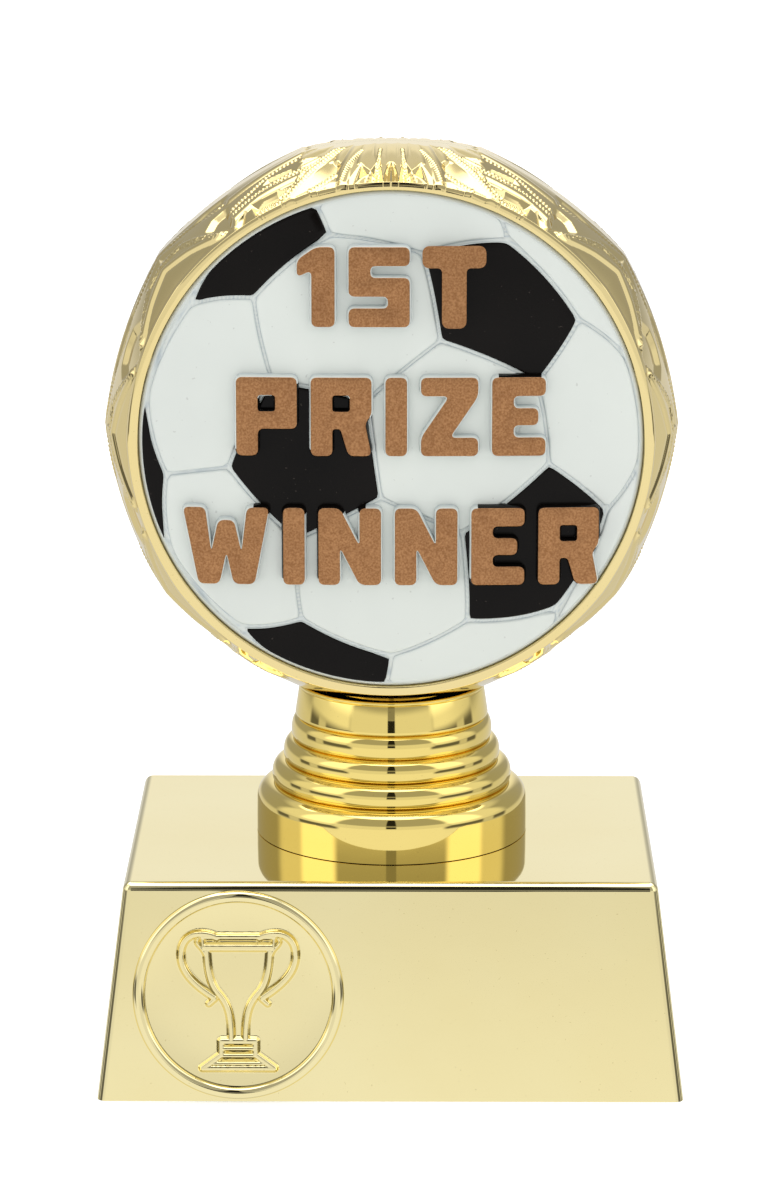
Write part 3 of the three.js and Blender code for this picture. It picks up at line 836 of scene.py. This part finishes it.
def panel_inside(x, y, panel, rim):
    """Smooth distance inside a panel, rounded at its corners, and inside the plaque's rim."""
    sides = [rim - np.hypot(x, y)]
    for k, plane in enumerate(PLANES):
        if k != panel and plane @ PLANES[panel] > 0.6:
            sides.append(from_seam(PLANES[panel] - plane, x, y) - SEAM_HALF)
    sides = np.stack(sides)
    lowest = sides.min(0)
    crowd = np.exp(-(sides - lowest) / CORNER_SOFTNESS).sum(0)
    return lowest - CORNER_SOFTNESS * np.log(crowd)


def dome(x, y):
    """How far the plaque's smooth face stands in front of the ball's middle plane."""
    share = np.clip(np.hypot(x, y) / PLAQUE_RADIUS, 0, 1)
    edge = 15.85 - 0.3 * np.clip((share - 0.965) / 0.035, 0, 1) ** 2
    return edge + 1.55 * (1 - share ** 2.2)


def panel_mesh(panel, rim):
    """One raised panel: level rings from its foot up a rounded edge and in to its middle."""
    coarse = np.linspace(-rim, rim, 121)
    gx, gy = np.meshgrid(coarse, coarse)
    inside = np.where(on_ball(gx, gy) @ PLANES[panel] > 0.55, panel_inside(gx, gy, panel, rim), -1)
    deepest = inside.max()
    if deepest < 0.35:
        return None
    middle = np.unravel_index(inside.argmax(), inside.shape)
    cx, cy = gx[middle], gy[middle]
    directions = round_steps(PANEL_STEPS)
    dx, dy = np.cos(directions), np.sin(directions)
    rings = []
    for level in (-0.02, 0.02, 0.05, 0.1, 0.17, 0.26, 0.38):
        if level >= deepest * 0.8:
            break
        low, high = np.zeros(PANEL_STEPS), np.full(PANEL_STEPS, 2 * rim)
        for _ in range(34):
            half = (low + high) / 2
            keep = panel_inside(cx + dx * half, cy + dy * half, panel, rim) > level
            low, high = np.where(keep, half, low), np.where(keep, high, half)
        rings.append((low, level))
    edge = rings[-1][0]
    rings += [(edge * share, 1.0) for share in (0.9, 0.78, 0.64, 0.48, 0.3, 0.12)]
    points, painted_shade = [], []
    for reach, level in rings:
        x, y = cx + dx * reach, cy + dy * reach
        level = max(level, 0)
        up = PANEL_RISE * math.sqrt(1 - (1 - min(level / PANEL_ROUND, 1)) ** 2)
        points.append(np.stack([x, y, dome(x, y) - PANEL_RISE + up], -1))
        # painted shade: darkest at the panel's foot, fading up its rounded edge
        painted_shade.append(np.full(PANEL_STEPS, 0.8 * math.exp(-level / 0.07)))
    points.append(np.array([[cx, cy, dome(cx, cy)]]))
    painted_shade.append(np.zeros(1))
    faces = grid_faces(len(rings), PANEL_STEPS)
    tip = len(rings) * PANEL_STEPS
    last = tip - PANEL_STEPS
    faces += [[last + i, last + (i + 1) % PANEL_STEPS, tip] for i in range(PANEL_STEPS)]
    return np.concatenate(points), faces, np.concatenate(painted_shade)


def enamelled(name, parts, materials, sharp):
    """One piece of the plaque. Each part has points (right, up, forward), faces, the faces'
    materials, and how much grey-blue painted shade lies on each point."""
    points, faces, kinds, painted_shade = [], [], [], []
    start = 0
    for own_points, own_faces, own_kinds, own_painted_shade in parts:
        points.append(own_points)
        faces += [[start + v for v in face] for face in own_faces]
        kinds += own_kinds
        painted_shade.append(own_painted_shade)
        start += len(own_points)
    x, y, z = np.concatenate(points).T
    piece = mesh_from(name, np.column_stack([x, -z, BALL_Z + y]), faces, materials, sharp)
    piece.data.polygons.foreach_set("material_index", kinds)
    # stores the painted shade on the points, for the white enamel to read
    attribute = piece.data.attributes.new("painted_shade", "FLOAT", "POINT")
    attribute.data.foreach_set("value", np.concatenate(painted_shade))
    return piece


def make_panels():
    """All the panels; the black ones are painted from a little way up their edges."""
    rim, unpainted = PLAQUE_RADIUS - 0.35, 3 * PANEL_STEPS
    parts = []
    for panel in range(len(PLANES)):
        made = panel_mesh(panel, rim) if PLANES[panel][2] > -0.35 else None
        if made is None:
            continue
        points, faces, painted_shade = made
        black = panel < BLACK_COUNT
        kinds = [int(black and number >= unpainted) for number in range(len(faces))]
        # the black panels get half as much painted shade at their feet
        parts.append((points, faces, kinds, painted_shade * 0.5 if black else painted_shade))
    return enamelled("football_panels", parts, [WHITE, BLACK], 0)


def from_nearest_seam(x, y):
    order = np.argsort(on_ball(x, y) @ PLANES.T, -1)
    planes = PLANES[order[..., -1]] - PLANES[order[..., -2]]
    return from_seam(np.moveaxis(planes, -1, 0), x, y)


def make_plaque_body():
    """The plaque under the panels: channels with a low crown, rolled edge and flat back."""
    radii = np.concatenate([
        np.linspace(0.05, PLAQUE_RADIUS - 1.2, 150),
        PLAQUE_RADIUS - np.array([0.8, 0.5, 0.25, 0.08, 0]),
    ])[:, None]
    turn = round_steps(PLAQUE_STEPS)
    x, y = radii * np.sin(turn), radii * np.cos(turn)
    away = from_nearest_seam(x, y)
    crown = 0.1 * np.clip(1 - (away / 0.2) ** 2, 0, 1)
    z = dome(x, y) - PANEL_RISE + crown * (radii < PLAQUE_RADIUS - 0.6)
    rolled = np.clip((radii - (PLAQUE_RADIUS - 0.6)) / 0.6, 0, 1)
    z = z + 0.4 * (1 - rolled ** 2) * (rolled > 0) - 0.05 * rolled ** 2
    face = np.stack([x, y, z], -1).reshape(-1, 3)
    # painted shade along both sides of each channel, and a little at the rolled rim
    painted_shade = np.where(radii > PLAQUE_RADIUS - 0.7, 0.1, 0.7 * np.exp(-((away - 0.22) / 0.09) ** 2))
    back = face[-PLAQUE_STEPS:].copy()
    back[:, 2] = PLAQUE_BACK
    points = np.concatenate([face, back, [[0, 0, PLAQUE_BACK]], [[0, 0, face[0, 2]]]])
    faces = grid_faces(len(radii) + 1, PLAQUE_STEPS)
    rear = len(face)
    rear_middle, front_middle = len(points) - 2, len(points) - 1
    for i in range(PLAQUE_STEPS):
        after = (i + 1) % PLAQUE_STEPS
        faces.append([rear + i, rear + after, rear_middle])
        faces.append([after, i, front_middle])
    painted_shade = np.concatenate([painted_shade.reshape(-1), np.zeros(PLAQUE_STEPS + 2)])
    return enamelled("plaque_body", [(points, faces, [0] * len(faces), painted_shade)], [WHITE], 55)


# ---- lettering: generic block letters ----
# Each letter: its width, its outline, and its hole or None.
STROKE = 3.0
FULL = 8.4
TALL = 11.0
RAISE = 1.65
SPACE = 1.9
CORNER, HOLE_CORNER = 0.9, 0.45
ROWS = [("1ST", 22.1), ("PRIZE", 4.1), ("WINNER", -14.3)]
# How far outside its outline each level of a letter stands, and how far above the plaque.
LETTER_LEVELS = [(0.34, -PANEL_RISE - 0.4), (0.26, 0.0), (0.1, RAISE - 0.22), (0.0, RAISE - 0.1),
                 (-0.07, RAISE - 0.03), (-0.18, RAISE)]
PAINT_LEVEL = 3  # the bronze starts at this level
BOWL = [(STROKE, 6.2), (FULL - STROKE, 6.2), (FULL - STROKE, 8.5), (STROKE, 8.5)]
GLYPHS = {
    "1": (5.2, [(2, 0), (5.2, 0), (5.2, TALL), (2.6, TALL), (0, 9.2), (0, 6.8), (2, 7.8)], None),
    "S": (FULL, [
        (0, 0), (FULL, 0), (FULL, 6.8), (STROKE, 6.8), (STROKE, 8.4), (FULL, 8.4), (FULL, TALL),
        (0, TALL), (0, 4.2), (FULL - STROKE, 4.2), (FULL - STROKE, 2.6), (0, 2.6)], None),
    "T": (FULL, [
        (FULL, TALL), (FULL, 8.3), (5.7, 8.3), (5.7, 0), (2.7, 0), (2.7, 8.3), (0, 8.3),
        (0, TALL)], None),
    "P": (FULL, [(0, 0), (STROKE, 0), (STROKE, 3.8), (FULL, 3.8), (FULL, TALL), (0, TALL)], BOWL),
    "R": (FULL, [
        (0, 0), (STROKE, 0), (STROKE, 3.8), (4.1, 3.8), (5.2, 0), (FULL, 0), (7.5, 4.6),
        (FULL, 5.8), (FULL, TALL), (0, TALL)], BOWL),
    "I": (STROKE, [(0, 0), (STROKE, 0), (STROKE, TALL), (0, TALL)], None),
    "Z": (7.9, [
        (0, 0), (7.9, 0), (7.9, 2.6), (4, 2.6), (7.9, 8.4), (7.9, TALL), (0, TALL), (0, 8.4),
        (3.9, 8.4), (0, 2.6)], None),
    "E": (7.4, [
        (0, 0), (7.4, 0), (7.4, 2.6), (STROKE, 2.6), (STROKE, 4.3), (6.4, 4.3), (6.4, 6.7),
        (STROKE, 6.7), (STROKE, 8.4), (7.4, 8.4), (7.4, TALL), (0, TALL)], None),
    "W": (12.0, [
        (0, TALL), (2.1, 0), (5, 0), (6, 4.6), (7, 0), (9.9, 0), (12, TALL), (8.9, TALL),
        (8.1, 4.6), (7.1, 9.2), (4.9, 9.2), (3.9, 4.6), (3.1, TALL)], None),
    "N": (8.7, [
        (0, 0), (STROKE, 0), (STROKE, 5.4), (5.7, 0), (8.7, 0), (8.7, TALL), (5.7, TALL),
        (5.7, 5.6), (STROKE, TALL), (0, TALL)], None),
}


def rounded_loop(corners, radius):
    """A closed outline with its corners rounded and its straight runs divided evenly."""
    corners = [np.array(c, float) for c in corners]
    count = len(corners)
    loop = []
    for i in range(count):
        before, here, after = corners[i - 1], corners[i], corners[(i + 1) % count]
        into, out = before - here, after - here
        reach = min(radius, np.linalg.norm(into) * 0.45, np.linalg.norm(out) * 0.45)
        start = here + into / np.linalg.norm(into) * reach
        end = here + out / np.linalg.norm(out) * reach
        for t in np.linspace(0, 1, 7):
            loop.append((1 - t) ** 2 * start + 2 * t * (1 - t) * here + t ** 2 * end)
    return np.array(loop)


def offset_loop(loop, distance):
    """Moves each point of an anticlockwise loop outwards along its own normal."""
    run = np.roll(loop, -1, 0) - np.roll(loop, 1, 0)
    run /= np.maximum(np.linalg.norm(run, axis=1), 1e-9)[:, None]
    return loop + np.stack([run[:, 1], -run[:, 0]], -1) * distance


def letter_mesh(outline, hole, left, up):
    """Walls with a little draft, a rounded edge, and a flat face that follows the plaque's dome."""
    loops = [rounded_loop(outline, CORNER)]
    if hole:
        loops.append(rounded_loop(hole, HOLE_CORNER)[::-1])
    points, faces, kinds, caps = [], [], [], []
    start = 0
    for loop in loops:
        loop = loop + np.array([left, up - TALL / 2])
        count = len(loop)
        for away, height in LETTER_LEVELS:
            ring = offset_loop(loop, away)
            points.append(np.column_stack([ring, dome(ring[:, 0], ring[:, 1]) + height]))
        on_black = np.argmax(on_ball(loop[:, 0], loop[:, 1]) @ PLANES.T, -1) < BLACK_COUNT
        faces += [[start + v for v in face] for face in grid_faces(len(LETTER_LEVELS), count)]
        for level in range(len(LETTER_LEVELS) - 1):
            kinds += [2] * count if level >= PAINT_LEVEL else on_black.astype(int).tolist()
        first = start + (len(LETTER_LEVELS) - 1) * count
        caps.append(range(first, first + count))
        start += count * len(LETTER_LEVELS)
    every = np.concatenate(points)
    flat = [[Vector((every[i][0], every[i][1], 0)) for i in cap] for cap in caps]
    cap_points = [i for cap in caps for i in cap]
    for corners in tessellate_polygon(flat):
        a, b, c = (cap_points[corner] for corner in corners)
        turn = np.cross(every[b][:2] - every[a][:2], every[c][:2] - every[a][:2])
        faces.append([a, b, c] if turn > 0 else [a, c, b])
        kinds.append(2)
    # painted shade at the foot of each letter, fading up the wall to none about 0.9 mm up
    rise = every[:, 2] - dome(every[:, 0], every[:, 1])
    return every, faces, kinds, np.clip(1 - rise / 0.9, 0, 1) * 0.75


def make_lettering():
    parts = []
    for text, up in ROWS:
        width = sum(GLYPHS[c][0] for c in text) + SPACE * (len(text) - 1)
        left = -width / 2
        for character in text:
            advance, outline, hole = GLYPHS[character]
            parts.append(letter_mesh(outline, hole, left, up))
            left += advance + SPACE
    return enamelled("block_letters", parts, [WHITE, BLACK, BRONZE], 50)


# ---- rear disc, cover and hidden hardware ----


def make_rear_disc():
    low, high = box_mm("rear_disc")
    radius, thick = (high.x - low.x) / 2, high.y - low.y
    profile = [(0.02, 0), (radius - 0.15, 0), (radius, 0.15), (radius, thick - 0.35)]
    profile += [(radius - 0.35, thick), (radius - 2.6, thick), (radius - 3.0, thick - 0.3)]
    profile += [(radius - 3.4, thick), (0.02, thick)]
    disc = lathe("rear_cover_disc", profile, 192, [GOLD], sharp=30)
    turn = Matrix.Rotation(-math.pi / 2, 4, "X")
    return place(disc, Matrix.Translation(Vector((0, low.y, BALL_Z)) * MM) @ turn)


def make_cover():
    width, depth = COVER_HIGH.x - COVER_LOW.x, COVER_HIGH.y - COVER_LOW.y
    cover = bevelled_box(
        "foam_cover", lambda x, y, z: (x * width, y * depth, (z + 0.5) * COVER_HIGH.z),
        [(lambda a, b: abs(a - b) > 0.5, 1.5, 6), (lambda a, b: abs(a - b) < 0.01, 0.2, 2)],
        [BLACK_SHEET],
    )
    flatten_normals(cover, 35)
    return cover


# ---- putting it together ----


def adopt(piece, body, node):
    """Puts a piece on a body, in place of a CAD node."""
    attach(piece, body)
    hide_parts(node)


adopt(make_plinth(), "base", "base_shell")
adopt(make_round_centre(), "base", "cup_medallion")
adopt(make_cover(), "base", "base_cover")
adopt(make_riser(), "column", "riser")
cut_front = make_ball_half("cut_front", LIP, LIP_OUTER, FRONT_FLOOR, 1360, 116, True)
cut_back = make_ball_half("cut_back", REAR_LIP, REAR_LIP_OUTER, REAR_FLOOR, 1000, 56, False)
adopt(cut_front, "column", "holder_front")
adopt(cut_back, "column", "holder_back")
adopt(make_foot_collar(), "column", "holder_front")
adopt(make_plaque_body(), "column", "football_insert")
adopt(make_panels(), "column", "football_insert")
adopt(make_lettering(), "column", "football_insert")
adopt(make_rear_disc(), "column", "rear_disc")

ZINC_NODES = ("weight_plate", "bottom_washer", "bottom_nut", "tie_rod", "holder_nut")
for node in (*ZINC_NODES, "insert_adhesive_pad"):
    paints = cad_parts[node].data.materials
    paints.clear()
    paints.append(ZINC if node in ZINC_NODES else WHITE_FOAM)

# ---- floor, light and camera ----


def make_floor():
    """A pale floor that gives off a little light, so that it stays even behind the trophy."""
    half = 3000.0
    corners = [(-half, -half, 0), (half, -half, 0), (half, half, 0), (-half, half, 0)]
    n = Nodes("pale_floor")
    n.set(Roughness=0.7, Emission_Color=(1.0, 1.0, 1.0, 1.0), Emission_Strength=0.32)
    tone = n.blend(n.noise(3.0), linear(246, 246, 245), linear(243, 243, 242))
    n.feed("Base Color", tone)
    floor = mesh_from("floor", corners, [(0, 1, 2, 3)], [n.material], sharp=0)
    floor.visible_glossy = False


# Brightness of the studio seen from the trophy. Each patch has its low and high edge in azimuth,
# either way from the front, then in elevation, the softness of its edges, all in degrees, and
# its level. Later patches lie over earlier ones.
STUDIO = [
    ("far_sides", 46, 112, -11, 0.5, 3, 0.14),
    ("side_floor", 84, 96, -12, 1, 2, 0.66),
    ("front_wall", 0, 50, -1, 84, 4, 0.44),
    ("front_low", 0, 50, -3.5, 15, 3, 0.86),
    ("side_panels", 49, 84, 11, 60, 4, 1.5),
    ("side_walls", 84, 108, 9, 60, 5, 0.9),
    ("back_sides", 112, 166, 0, 38, 5, 0.40),
    ("back_wall", 171, 400, -3, 33, 4, 0.96),
    ("back_high", 160, 400, 36, 62, 6, 0.72),
    ("back_panels", 104, 161, 47, 70, 3, 2.6),
    ("overhead", 0, 400, 67, 100, 3, 2.9),
    ("lens_slit", 0, 4.3, 1, 10.5, 0.6, 0.02),
    ("lens_gap", 0, 4.3, 10.5, 20.5, 0.6, 0.28),
    ("lens_slit_high", 0, 4.3, 20.5, 62, 0.6, 0.02),
]
FLOOR_LEVEL = 1.0
FLOOR_SIDES = 0.72


def make_world():
    """A small product studio: a white floor, a panel on each side and one overhead, a pale wall
    behind, and a dimmer front with a narrow dark slit."""
    world = bpy.data.worlds.new("studio")
    bpy.context.scene.world = world
    studio = Tree(world)
    studio.tree.nodes.clear()
    maths = studio.maths

    def ramp(source, low, high):
        return studio.spread(source, low, high, interpolation_type="SMOOTHSTEP")

    def between(source, low, high, soft):
        falling = maths("SUBTRACT", 1.0, ramp(source, high - soft, high + soft))
        return maths("MULTIPLY", ramp(source, low - soft, low + soft), falling)

    def towards(level, target, mask):
        return maths("ADD", level, maths("MULTIPLY", maths("SUBTRACT", target, level), mask))

    split = studio.add("ShaderNodeSeparateXYZ")
    studio.link(studio.add("ShaderNodeTexCoord").outputs["Generated"], split.inputs[0])
    x, y, z = split.outputs
    turn = maths("ABSOLUTE", maths("ARCTAN2", x, maths("MULTIPLY", y, -1.0)))
    azimuth = maths("MULTIPLY", turn, 180 / math.pi)
    elevation = maths("MULTIPLY", maths("ARCSINE", z), 180 / math.pi)
    level = towards(FLOOR_LEVEL, FLOOR_SIDES, ramp(azimuth, 60, 120))
    for _name, left, right, low, high, soft, target in STUDIO:
        start = left - soft if left == 0 else left
        across = between(azimuth, start, right, soft)
        mask = maths("MULTIPLY", between(elevation, low, high, soft), across)
        level = towards(level, target, mask)

    def background(strength):
        node = studio.add("ShaderNodeBackground", in_Color=(1.0, 1.0, 1.0, 1.0))
        studio.link(strength, node.inputs["Strength"])
        return node.outputs[0]

    path = studio.add("ShaderNodeLightPath")
    shader = background(level)
    for ray in ("Is Diffuse Ray", "Is Camera Ray"):
        mix = studio.add("ShaderNodeMixShader")
        for source, socket in zip((path.outputs[ray], shader, background(1.0)), mix.inputs):
            studio.link(source, socket)
        shader = mix.outputs[0]
    studio.link(shader, studio.add("ShaderNodeOutputWorld").inputs["Surface"])


def make_camera():
    pitch, yaw, distance = math.radians(13.6), math.radians(-0.37), 673.0
    target = Vector((-0.3, 0.0, 64.4))
    look = Vector((
        math.sin(yaw) * math.cos(pitch), math.cos(yaw) * math.cos(pitch), -math.sin(pitch),
    ))
    data = bpy.data.cameras.new("camera")
    data.lens = 141.0
    data.sensor_width = 36.0
    data.clip_start, data.clip_end = 0.01, 20.0
    camera = bpy.data.objects.new("camera", data)
    camera.location = (target - look * distance) * MM
    camera.rotation_mode = "QUATERNION"
    camera.rotation_quaternion = look.to_track_quat("-Z", "Y")
    bpy.context.scene.collection.objects.link(camera)
    bpy.context.scene.camera = camera


make_floor()
make_world()
make_camera()
bpy.context.scene.view_settings.view_transform = "Standard"
